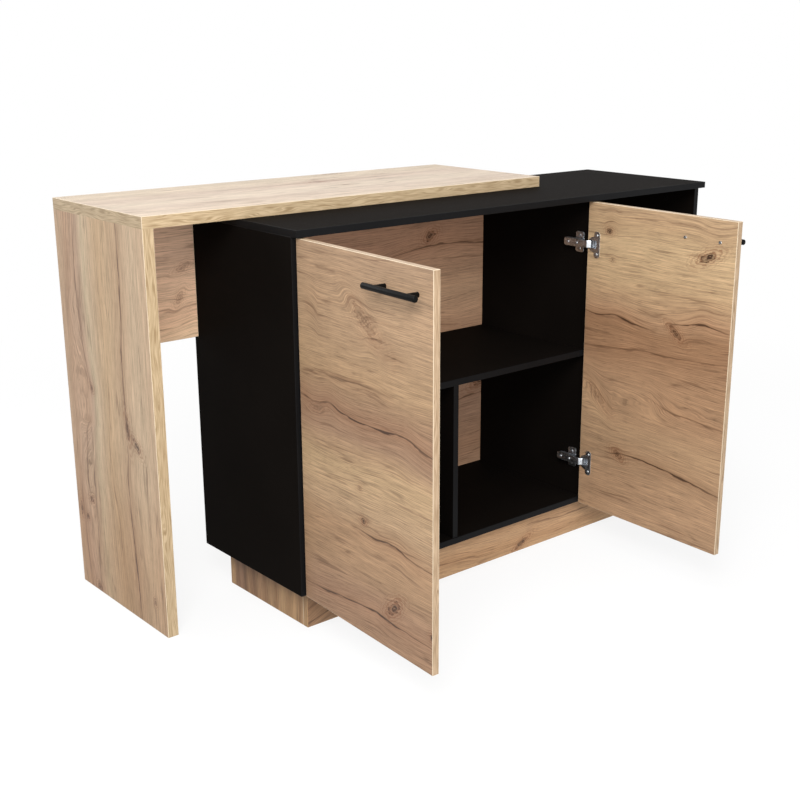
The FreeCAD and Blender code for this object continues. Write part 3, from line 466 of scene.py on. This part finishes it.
def black_melamine(name, shade, roughness, level):
    """Black melamine pressed against a fine pearl plate: nearly matt, with a soft grey sheen along the
    light. The pearl is 0.4 mm on the real board and is drawn at 3 mm so that it shows."""
    material, tree = new_finish(name)
    place = put(tree, "ShaderNodeTexCoord").outputs["Object"]
    pearl = put(tree, "ShaderNodeTexNoise", (0, place), ("Scale", 330), ("Detail", 2))
    cloud = put(tree, "ShaderNodeTexNoise", (0, place), ("Scale", 5), ("Detail", 2))
    tones = put(tree, "ShaderNodeValToRGB", (0, cloud))
    for stop, at, gain in zip(tones.color_ramp.elements, (0.3, 0.7), (1, 1.25)):
        stop.position = at
        stop.color = [part * gain for part in linear(shade)[:3]] + [1]
    rough = put(
        tree, "ShaderNodeMapRange", (0, pearl), (1, 0.3), (2, 0.7), (3, roughness - 0.05),
        (4, roughness + 0.05),
    )
    relief = put(tree, "ShaderNodeBump", ("Strength", 0.12), ("Distance", 0.0003), ("Height", pearl))
    shader = put(
        tree, "ShaderNodeBsdfPrincipled", ("Base Color", tones), ("Roughness", rough), ("IOR", 1.5),
        ("Specular IOR Level", level), ("Normal", relief),
    )
    put(tree, "ShaderNodeOutputMaterial", ("Surface", shader))
    return material


# painted reflection: the faces' black is warmed a little towards brown, as they mirror the oak bar beside
# them
black_face = black_melamine("black melamine", "#100D0B", 0.66, 0.012)
black_band = black_melamine("black edge band", "#101011", 0.45, 0.07)
for name, grain in (
    ("bottom_panel", x_axis),
    ("left_side_panel", z_axis),
    ("right_side_panel", z_axis),
    ("divider_panel", z_axis),
    ("cabinet_top", x_axis),
):
    board(name, grain, black_face, black_face, black_band)


# Back panel
# One oak-faced board of full thickness, set between the sides and under the top, behind the other boards.
# Inside it closes the door bay and the niche, and from behind it is the island's oak front.

back_oak = oak_face(
    "oak melamine back", (12.6, 7.2),
    bands=[
        (0, "#AE866B"), (120, "#A67E64"), (260, "#B89476"), (400, "#9D785E"), (560, "#A3816A"),
        (690, "#A37E63"), (765, "#A8856B"),
    ],
    knots=[
        (583, 110, 14, 9, 30, 0.9), (250, 180, 20, 8, 12, 0.8), (880, 260, 26, 11, -14, 0.8),
        (400, 520, 24, 10, 18, 0.9), (1050, 640, 16, 8, 5, 0.8),
    ],
    cracks=[
        ([(60, 120), (300, 150), (560, 135), (760, 160)], 0.7),
        ([(500, 350), (700, 330), (950, 345), (1200, 330)], 0.8),
        ([(30, 560), (260, 545), (480, 560), (720, 590)], 0.7),
        ([(760, 690), (960, 680), (1180, 700)], 0.6),
    ],
)
board("back_panel", x_axis, back_oak, back_oak, oak_band)


# Shelves and partition
# The main shelf crosses the door bay, the partition stands under it, and two shelves divide the niche.
# All are black melamine boards on dowels, set a little back from the divider's front edge.

for name, grain in (
    ("main_shelf", x_axis),
    ("lower_partition", z_axis),
    ("niche_lower_shelf", x_axis),
    ("niche_upper_shelf", x_axis),
):
    board(name, grain, black_face, black_face, black_band)


# Dowels and cams
# Beech dowels glued in the board edges, and zinc cam discs with steel bolts that draw the joints tight.
# They sit in their bores with the discs flush in the boards; in the black boards the discs have black caps.

def turned_stock(name, dark, pale, across, metallic, roughness):
    """Plain stock that shows little: a fine mottle of a width across, in metres, between two near shades."""
    material, tree = new_finish(name)
    place = put(tree, "ShaderNodeTexCoord").outputs["Object"]
    mottle = put(tree, "ShaderNodeTexNoise", (0, place), ("Scale", 1 / across), ("Detail", 3))
    tones = put(tree, "ShaderNodeValToRGB", (0, mottle))
    for stop, at, shade in zip(tones.color_ramp.elements, (0.35, 0.65), (dark, pale)):
        stop.position = at
        stop.color = linear(shade)
    rough = put(
        tree, "ShaderNodeMapRange", (0, mottle), (1, 0.3), (2, 0.7), (3, roughness - 0.06),
        (4, roughness + 0.06),
    )
    relief = put(tree, "ShaderNodeBump", ("Strength", 0.15), ("Distance", 0.0001), ("Height", mottle))
    shader = put(
        tree, "ShaderNodeBsdfPrincipled", ("Base Color", tones), ("Roughness", rough), ("Metallic", metallic),
        ("Normal", relief),
    )
    put(tree, "ShaderNodeOutputMaterial", ("Surface", shader))
    return material


def pressed(node, body, material, arris):
    """A metal piece in place of its CAD node: the same form, with its sharp edges eased and its rounds
    smooth."""
    sharp_angle = 0.7
    crease_angle = math.radians(38)
    shape = cad_shape(node)
    join_flat_faces(shape)
    sharp = [e for e in shape.edges if len(e.link_faces) == 2 and e.calc_face_angle(0) > sharp_angle]
    bmesh.ops.bevel(
        shape, geom=sharp, offset=arris, segments=2, profile=0.5, affect="EDGES", clamp_overlap=True
    )
    mesh = bpy.data.meshes.new(node + "_piece")
    shape.to_mesh(mesh)
    shape.free()
    for polygon in mesh.polygons:
        polygon.use_smooth = True
    mesh.set_sharp_from_angle(angle=crease_angle)
    mesh.materials.append(material)
    piece = added(node + "_piece", mesh)
    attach(piece, body)
    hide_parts(node)
    return piece


beech = turned_stock("beech", "#B98F5E", "#D2AD7C", 0.003, 0.0, 0.6)
zinc = turned_stock("zinc plated steel", "#9A9C9E", "#C4C6C8", 0.002, 1.0, 0.34)
for name, material in (
    ("carcass_dowels", beech), ("plinth_dowels", beech), ("table_dowels", beech), ("cam_bolts", zinc),
):
    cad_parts[name].data.materials.clear()
    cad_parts[name].data.materials.append(material)
discs = pressed("cam_discs", "cabinet", zinc, 0.0003)
discs.data.materials.append(black_melamine("black moulded caps", "#0E0D0C", 0.55, 0.06))
# the discs in the oak leg and apron, left of the cabinet, stay bare
cabinet_from = -0.65
for polygon in discs.data.polygons:
    polygon.material_index = 1 if polygon.center.x > cabinet_from else 0


# Breakfast bar
# A thick oak-faced top that rests on the cabinet top, a panel leg under its far end and an apron between
# the leg and the cabinet. The leg's grain runs upright; dowels and cams hold the corner, screws the top.

bar_band = oak_edge_band("oak edge band of the bar", "#9A8260", "#C3AC8A")
leg_oak = oak_face(
    "oak melamine leg", (5.2, 9.6),
    bands=[
        (0, "#BFA387"), (45, "#B5957A"), (75, "#B89C84"), (110, "#C7B294"), (150, "#C4AA8C"),
        (200, "#C0A381"), (280, "#BCA184"), (340, "#C6AD90"), (395, "#C2A689"),
    ],
    knots=[
        (434, 275, 24, 7, 8, 0.8), (464, 312, 17, 8, 52, 0.8), (378, 120, 8, 6, 30, 0.7),
        (650, 74, 6, 8, 0, 0.8), (686, 20, 14, 6, 0, 0.7), (700, 48, 6, 7, 0, 0.7),
        (808, 347, 8, 6, 0, 0.5), (866, 80, 8, 10, 0, 0.7),
    ],
    cracks=[
        ([(0, 283), (100, 283), (180, 280), (270, 271), (400, 271)], 0.9),
        ([(495, 269), (560, 261), (620, 263), (680, 268), (750, 275), (875, 280)], 0.8),
        ([(0, 90), (80, 81), (200, 83), (300, 95), (376, 117)], 0.55),
        ([(458, 100), (480, 83), (520, 75), (600, 66), (652, 72)], 0.6),
        ([(488, 103), (560, 100), (650, 98), (780, 93), (874, 88)], 0.6),
        ([(590, 30), (690, 31), (800, 38), (874, 48)], 0.4),
        ([(0, 47), (100, 50), (200, 36)], 0.3),
        ([(50, 187), (150, 186), (250, 190)], 0.3),
        ([(455, 190), (560, 188), (640, 205), (760, 212), (872, 215)], 0.35),
    ],
    # painted shade: the leg's oak darkens from its middle down towards the floor, where less light reaches it
    painted_shade=(440, 780, "#F1E7DE"),
)
board("table_leg", z_axis, leg_oak, leg_oak, bar_band, square=[(z_axis, 1)])
apron_oak = oak_face(
    "oak melamine apron", (9.9, 12.4),
    # the oak's own tones, lifted above the leg's: painted light on the apron, which stands in the bar's shade
    bands=[(0, "#CBA88C"), (90, "#C6A389"), (170, "#D0AC8E"), (230, "#D3AD8E"), (280, "#D8B795")],
    knots=[(30, 121, 17, 6, 24, 0.3), (42, 186, 14, 6, 60, 0.3)],
    cracks=[([(10, 240), (85, 252), (180, 248)], 0.4)],
)
board("table_apron", x_axis, apron_oak, apron_oak, bar_band)
top_oak = oak_face(
    "oak melamine bar top", (1.4, 6.3),
    # the oak's own tones, made paler and greyer than the leg's to paint in the sheen that the top's face
    # reflects
    bands=[
        (0, "#C2B09C"), (80, "#BDAB9A"), (160, "#C5B5A2"), (250, "#BCA998"), (330, "#C3B29D"),
        (395, "#BFAF9B"),
    ],
    knots=[
        (628, 172, 10, 6, 0, 0.5), (607, 262, 22, 9, 4, 0.55), (628, 300, 9, 6, 0, 0.5),
        (741, 383, 18, 8, 0, 0.5),
    ],
    cracks=[
        ([(420, 255), (560, 262), (700, 258), (900, 270)], 0.45),
        ([(120, 110), (300, 96), (480, 100)], 0.25),
    ],
)
board("table_top", x_axis, top_oak, top_oak, bar_band, square=[(z_axis, -1)])


# Doors
# Two oak-faced doors with the grain across, hung on the cabinet's left side and on the divider.
# They stand open; each is built shut, where its edges lie along the axes, and turned about its hinge pin.

door_turn = {}
for door, degrees in (("left_door", -93), ("right_door", 88)):
    low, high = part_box(door + "_upper_hinge_pin")
    pin = Matrix.Translation(((low.x + high.x) / 2, (low.y + high.y) / 2, 0))
    door_turn[door] = pin @ Matrix.Rotation(math.radians(degrees), 4, "Z") @ pin.inverted()
left_out_oak = oak_face(
    "oak melamine left door outside", (0.4, 0.9),
    bands=[
        (0, "#A48165"), (70, "#9E7D63"), (130, "#A98869"), (200, "#AD8B6B"), (260, "#BB9C7B"),
        (340, "#BC9E7A"), (400, "#A18167"), (455, "#9A795F"), (520, "#AE8F6E"), (620, "#B19273"),
        (762, "#AC8E72"),
    ],
    knots=[
        (228, 638, 38, 11, -38, 0.34), (217, 240, 7, 5, 0, 0.95), (205, 305, 6, 5, 0, 0.4),
        (314, 92, 19, 9, 42, 0.9), (60, 432, 26, 8, 10, 0.22), (430, 77, 5, 6, 0, 0.8),
    ],
    cracks=[
        (
            [(70, 445), (105, 452), (150, 442), (220, 437), (290, 440), (360, 442), (400, 432), (434, 425)],
            0.95,
        ),
        ([(0, 450), (20, 448), (44, 444)], 0.7),
        ([(45, 507), (165, 510), (240, 514), (300, 510)], 0.5),
        ([(215, 600), (245, 608), (270, 610), (300, 608)], 0.6),
        ([(282, 588), (312, 585), (356, 583)], 0.6),
        ([(6, 637), (50, 634), (72, 618)], 0.4),
        ([(50, 367), (200, 370), (300, 376), (372, 368)], 0.3),
        ([(190, 219), (240, 216), (330, 219), (362, 209), (434, 205)], 0.9),
        ([(300, 217), (370, 220), (434, 219)], 0.4),
        ([(22, 39), (100, 47), (200, 57), (260, 62), (300, 58), (434, 54)], 0.95),
    ],
)
right_in_oak = oak_face(
    "oak melamine right door inside", (10.8, 3.3),
    bands=[
        (0, "#B59272"), (90, "#B39070"), (150, "#B08F6F"), (240, "#B99775"), (330, "#B18D6D"),
        (420, "#A47F60"), (490, "#9F7A5B"), (530, "#B18D6D"), (590, "#C3A47F"), (680, "#C3A681"),
        (720, "#B89A77"), (762, "#B59776"),
    ],
    knots=[
        (72, 677, 21, 8, -24, 0.95), (365, 700, 8, 6, 0, 0.9), (352, 634, 6, 5, 0, 0.35),
        (152, 494, 18, 7, 36, 0.75), (385, 296, 30, 8, 42, 0.3), (308, 162, 13, 7, 30, 0.85),
    ],
    cracks=[
        ([(0, 517), (45, 522), (75, 527), (120, 517), (172, 511)], 0.85),
        ([(225, 486), (270, 492), (300, 498), (340, 502), (380, 497), (434, 500)], 0.9),
        ([(0, 447), (60, 440), (170, 434), (250, 432), (330, 424), (434, 417)], 0.5),
        ([(0, 577), (100, 578), (205, 574)], 0.35),
        ([(0, 297), (100, 302), (160, 307), (216, 323)], 0.5),
        ([(330, 270), (362, 292), (400, 322), (434, 333)], 0.5),
        ([(0, 140), (80, 152), (150, 160), (230, 167), (290, 165), (332, 159)], 0.9),
        ([(338, 717), (358, 722), (384, 715)], 0.6),
        ([(0, 735), (60, 728), (110, 738), (200, 741), (330, 735)], 0.3),
    ],
)
right_out_oak = oak_face(
    "oak melamine right door outside", (2.7, 5.6),
    bands=[
        (0, "#A88568"), (80, "#A07E64"), (160, "#AE8C6C"), (250, "#B99A79"), (330, "#AA8869"),
        (410, "#9C7B61"), (470, "#A98A6A"), (560, "#B69777"), (660, "#B09072"), (762, "#B59678"),
    ],
    knots=[(120, 560, 22, 9, 18, 0.85), (330, 300, 12, 7, -20, 0.8), (70, 130, 8, 6, 0, 0.6)],
    cracks=[
        ([(0, 425), (90, 418), (200, 424), (310, 411), (434, 416)], 0.9),
        ([(0, 205), (110, 196), (230, 204)], 0.7),
        ([(180, 548), (280, 556), (360, 549), (434, 553)], 0.5),
        ([(60, 60), (190, 52), (330, 63), (434, 58)], 0.6),
    ],
)
left_in_oak = oak_face(
    "oak melamine left door inside", (6.1, 11.9),
    bands=[
        (0, "#B28F70"), (110, "#B89674"), (220, "#AC8868"), (320, "#A27E60"), (400, "#B5916F"),
        (520, "#C0A07C"), (640, "#B79775"), (762, "#B39373"),
    ],
    knots=[(310, 585, 20, 9, 20, 0.85), (120, 330, 14, 7, -30, 0.8), (250, 110, 9, 6, 0, 0.6)],
    cracks=[
        ([(0, 352), (100, 345), (220, 356), (330, 349), (434, 358)], 0.85),
        ([(0, 160), (130, 171), (280, 165)], 0.6),
        ([(160, 570), (260, 578), (380, 566), (434, 570)], 0.5),
    ],
)
for door, inside, outside in (
    ("left_door", left_in_oak, left_out_oak), ("right_door", right_in_oak, right_out_oak),
):
    board(
        door, x_axis, inside, outside, oak_band, body=door, turn=door_turn[door],
        half_turn=False,
    )


# Hinges
# Concealed cup hinges of pressed steel with nickel plating: a cup sunk in the door with a screwed flange,
# a bent arm that lies on a cross plate on the cabinet's side or divider, and the pin between cup and arm.

nickel = turned_stock("nickel plated steel", "#A0A5AB", "#E1E4E8", 0.004, 1.0, 0.36)
for door in door_turn:
    for height in ("upper", "lower"):
        for part, body in (("cup", door), ("pin", door), ("arm", "cabinet"), ("plate", "cabinet")):
            pressed(f"{door}_{height}_hinge_{part}", body, nickel, 0.00025)


# Handles
# Round steel bars with chamfered ends and a black powder coat. Each rests in the saddles of two posts,
# which are held by bolts from inside the door.

powder_black = black_melamine("black powder coat", "#090909", 0.40, 0.07)
for door in door_turn:
    for part in ("handle_bar", "handle_posts"):
        pressed(f"{door}_{part}", door, powder_black, 0.0002)


# Screws
# Turned steel screws, plated with zinc, with a cross punched in the head: pan heads on the hinges, bolts
# behind the handles and long ones up into the bar top. Each was driven home to an angle of its own.

def cross_head_screws():
    """One turned screw with a cross recess, set with its seat on every point of the input, along the point's
    heading and turned about it by chance. Its inputs are in metres."""
    tree = bpy.data.node_groups.new("cross head screws", "GeometryNodeTree")
    tree.interface.new_socket("Seats", in_out="INPUT", socket_type="NodeSocketGeometry")
    for size in ("Head", "Head height", "Shank", "Length", "Cross", "Cross width"):
        tree.interface.new_socket(size, in_out="INPUT", socket_type="NodeSocketFloat")
    tree.interface.new_socket("Seed", in_out="INPUT", socket_type="NodeSocketInt")
    tree.interface.new_socket("Plating", in_out="INPUT", socket_type="NodeSocketMaterial")
    tree.interface.new_socket("Screws", in_out="OUTPUT", socket_type="NodeSocketGeometry")
    given = put(tree, "NodeGroupInput").outputs
    rim = put(tree, "ShaderNodeMath", (0, given["Head"]), (1, 0.5), operation="MULTIPLY")
    crown = put(tree, "ShaderNodeMath", (0, given["Head"]), (1, 0.39), operation="MULTIPLY")
    head = put(
        tree, "GeometryNodeMeshCone", ("Vertices", 28), ("Radius Top", crown), ("Radius Bottom", rim),
        ("Depth", given["Head height"]),
    )
    cut = put(
        tree, "GeometryNodeMeshBoolean", ("Mesh 1", head.outputs["Mesh"]), operation="DIFFERENCE",
        solver="EXACT",
    )
    top = put(tree, "ShaderNodeCombineXYZ", (2, given["Head height"]))
    for long, wide in (("Cross", "Cross width"), ("Cross width", "Cross")):
        size = put(
            tree, "ShaderNodeCombineXYZ", (0, given[long]), (1, given[wide]), (2, given["Head height"])
        )
        slit = put(tree, "GeometryNodeMeshCube", ("Size", size))
        slit = put(tree, "GeometryNodeTransform", ("Geometry", slit), ("Translation", top))
        tree.links.new(slit.outputs[0], cut.inputs["Mesh 2"])
    neck = put(tree, "ShaderNodeMath", (0, given["Shank"]), (1, 0.5), operation="MULTIPLY")
    tip = put(tree, "ShaderNodeMath", (0, given["Shank"]), (1, 0.2), operation="MULTIPLY")
    shank = put(
        tree, "GeometryNodeMeshCone", ("Vertices", 16), ("Radius Top", neck), ("Radius Bottom", tip),
        ("Depth", given["Length"]),
    )
    down = put(tree, "ShaderNodeMath", (0, given["Length"]), (1, -1.0), operation="MULTIPLY")
    down = put(tree, "ShaderNodeCombineXYZ", (2, down))
    shank = put(tree, "GeometryNodeTransform", ("Geometry", shank), ("Translation", down))
    screw = put(tree, "GeometryNodeJoinGeometry", (0, cut))
    tree.links.new(shank.outputs[0], screw.inputs[0])
    spin = put(
        tree, "FunctionNodeRandomValue", ("Seed", given["Seed"]), (2, 0.0), (3, math.pi / 2),
        data_type="FLOAT",
    )
    spin = put(tree, "ShaderNodeCombineXYZ", (2, spin.outputs[1]))
    spin = put(tree, "FunctionNodeEulerToRotation", (0, spin))
    heading = put(tree, "GeometryNodeInputNamedAttribute", ("Name", "heading"), data_type="QUATERNION")
    facing = put(tree, "FunctionNodeRotateRotation", (0, heading), (1, spin), rotation_space="LOCAL")
    placed = put(
        tree, "GeometryNodeInstanceOnPoints", ("Points", given["Seats"]), ("Instance", screw),
        ("Rotation", facing),
    )
    real = put(tree, "GeometryNodeRealizeInstances", (0, placed))
    plated = put(tree, "GeometryNodeSetMaterial", ("Geometry", real), ("Material", given["Plating"]))
    put(tree, "NodeGroupOutput", ("Screws", plated))
    return tree


screw_tree = cross_head_screws()


def driven(node, body, outward, seed, **sizes):
    """The screws of a CAD node as one mesh. Their seats are found on the node's loose solids, and outward
    gives the way that a head at a certain place looks."""
    crown_depth = 0.0001
    shape = cad_shape(node)
    left = set(shape.verts)
    seats = []
    turns = []
    for first in shape.verts:
        if first not in left:
            continue
        left.remove(first)
        solid = [first]
        for vert in solid:
            for edge in vert.link_edges:
                other = edge.other_vert(vert)
                if other in left:
                    left.remove(other)
                    solid.append(other)
        out = outward(first.co)
        top = max(vert.co.dot(out) for vert in solid)
        crown = [vert.co for vert in solid if top - vert.co.dot(out) < crown_depth]
        seats.append(sum(crown, Vector()) / len(crown) - out * sizes["Head height"])
        turns.append(out.to_track_quat("Z", "Y"))
    shape.free()
    points = bpy.data.meshes.new(node + "_seats")
    points.from_pydata(seats, [], [])
    heading = points.attributes.new("heading", "QUATERNION", "POINT")
    for spot, turn in zip(heading.data, turns):
        spot.value = turn
    piece = added(node + "_piece", points)
    turning = piece.modifiers.new("screws", "NODES")
    turning.node_group = screw_tree
    values = dict(sizes, Seed=seed, Plating=zinc)
    for socket in screw_tree.interface.items_tree:
        if socket.in_out == "INPUT" and socket.name in values:
            turning[socket.identifier] = values[socket.name]
    made = bpy.data.meshes.new_from_object(piece.evaluated_get(bpy.context.evaluated_depsgraph_get()))
    piece.modifiers.clear()
    piece.data = made
    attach(piece, body)
    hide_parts(node)


wood_screw = {
    "Head": 0.007, "Head height": 0.0014, "Shank": 0.0035, "Length": 0.011,
    "Cross": 0.0042, "Cross width": 0.0011,
}
arm_screw = {
    "Head": 0.007, "Head height": 0.0016, "Shank": 0.004, "Length": 0.006,
    "Cross": 0.0042, "Cross width": 0.0011,
}
handle_screw = {
    "Head": 0.008, "Head height": 0.002, "Shank": 0.004, "Length": 0.023,
    "Cross": 0.0046, "Cross width": 0.0012,
}
table_screw = {
    "Head": 0.009, "Head height": 0.003, "Shank": 0.0045, "Length": 0.034,
    "Cross": 0.005, "Cross width": 0.0013,
}
driven("table_screws", "cabinet", lambda at: Vector((0, 0, -1)), 3, **table_screw)
driven("hinge_plate_screws", "cabinet", lambda at: Vector((1 if at.x < 0 else -1, 0, 0)), 5, **wood_screw)
driven("hinge_arm_screws", "cabinet", lambda at: Vector((1 if at.x < 0 else -1, 0, 0)), 8, **arm_screw)
for door in door_turn:
    inward = door_turn[door].to_3x3() @ Vector((0, 1, 0))
    driven(door + "_hinge_cup_screws", door, lambda at: inward, 11, **wood_screw)
    driven(door + "_handle_screws", door, lambda at: inward, 14, **handle_screw)


# Studio
# A plain white floor that runs on to the background, soft lamps above, at the left, in front and behind,
# and the camera to the left of the open doors, a little above the bar.

def looked_at(tree):
    """1 for a ray that shows a place to the camera, straight or by a reflection, and 0 for a ray that only
    lights the object."""
    path = put(tree, "ShaderNodeLightPath").outputs
    seen = put(
        tree, "ShaderNodeMath", (0, path["Is Camera Ray"]), (1, path["Is Glossy Ray"]), operation="MAXIMUM"
    )
    return put(tree, "ShaderNodeMath", (0, seen), (1, path["Is Transmission Ray"]), operation="MAXIMUM")


floor_mesh = bpy.data.meshes.new("floor")
shape = bmesh.new()
bmesh.ops.create_circle(shape, cap_ends=True, segments=64, radius=14)
shape.to_mesh(floor_mesh)
shape.free()
floor = added("floor", floor_mesh)
floor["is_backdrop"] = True
# matt under the object, where it keeps the shadow, and going over to plain white further out
floor_paint, tree = new_finish("white studio floor")
seen = looked_at(tree)
place = put(tree, "ShaderNodeTexCoord").outputs["Object"]
away = put(tree, "ShaderNodeVectorMath", (0, place), operation="LENGTH").outputs["Value"]
away = put(tree, "ShaderNodeMapRange", (0, away), (1, 1.2), (2, 2.8), (3, 0.84), (4, 1.0), **eased)
share = put(tree, "ShaderNodeMath", (0, seen), (1, away), operation="MULTIPLY")
paint = put(
    tree, "ShaderNodeMix", (0, seen), (6, linear("#949494")), (7, linear("#FAFAFA")), data_type="RGBA"
).outputs[2]
matt = put(tree, "ShaderNodeBsdfDiffuse", ("Color", paint))
glow = put(tree, "ShaderNodeEmission", ("Color", (1, 1, 1, 1)), ("Strength", 1.0))
both = put(tree, "ShaderNodeMixShader", (0, share), (1, matt), (2, glow))
put(tree, "ShaderNodeOutputMaterial", ("Surface", both))
floor_mesh.materials.append(floor_paint)

# white where it is looked at, and about half as strong where it only gives light
world = bpy.data.worlds.new("studio")
bpy.context.scene.world = world
world.use_nodes = True
tree = world.node_tree
tree.nodes.clear()
strength = put(tree, "ShaderNodeMapRange", (0, looked_at(tree)), (3, 0.48), (4, 1.0))
sky = put(tree, "ShaderNodeBackground", ("Color", (1, 1, 1, 1)), ("Strength", strength))
put(tree, "ShaderNodeOutputWorld", ("Surface", sky))

for name, place, target, width, power in (
    ("top_lamp", (-0.4, -0.2, 3.8), (-0.1, 0.1, 0.6), 2.8, 50),
    ("key_lamp", (-2.6, -2.4, 2.8), (-0.2, -0.1, 0.6), 1.8, 120),
    ("front_lamp", (-1.3, -4.6, 1.3), (-0.2, 0.2, 0.5), 2.6, 105),
    ("back_lamp", (-2.4, 4.2, 2.4), (0.0, 0.2, 0.5), 3.0, 58),
):
    light = bpy.data.lights.new(name, "AREA")
    light.shape = "DISK"
    light.size = width
    light.energy = power
    lamp = added(name, light)
    lamp.location = place
    lamp.rotation_euler = (Vector(target) - Vector(place)).to_track_quat("-Z", "Y").to_euler()

# a camera fitted to the edges in the photograph
view = bpy.data.cameras.new("camera")
view.lens = 55.575
view.sensor_width = 36
view.shift_x = -0.0273
view.shift_y = 0.0082
camera = added("camera", view)
camera.location = (-2.0050, -2.1635, 1.2349)
camera.rotation_euler = (math.pi / 2 - 0.2918, 0, -0.7098)
bpy.context.scene.camera = camera
bpy.context.scene.view_settings.view_transform = "Standard"

# The visual model's box.
low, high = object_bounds()
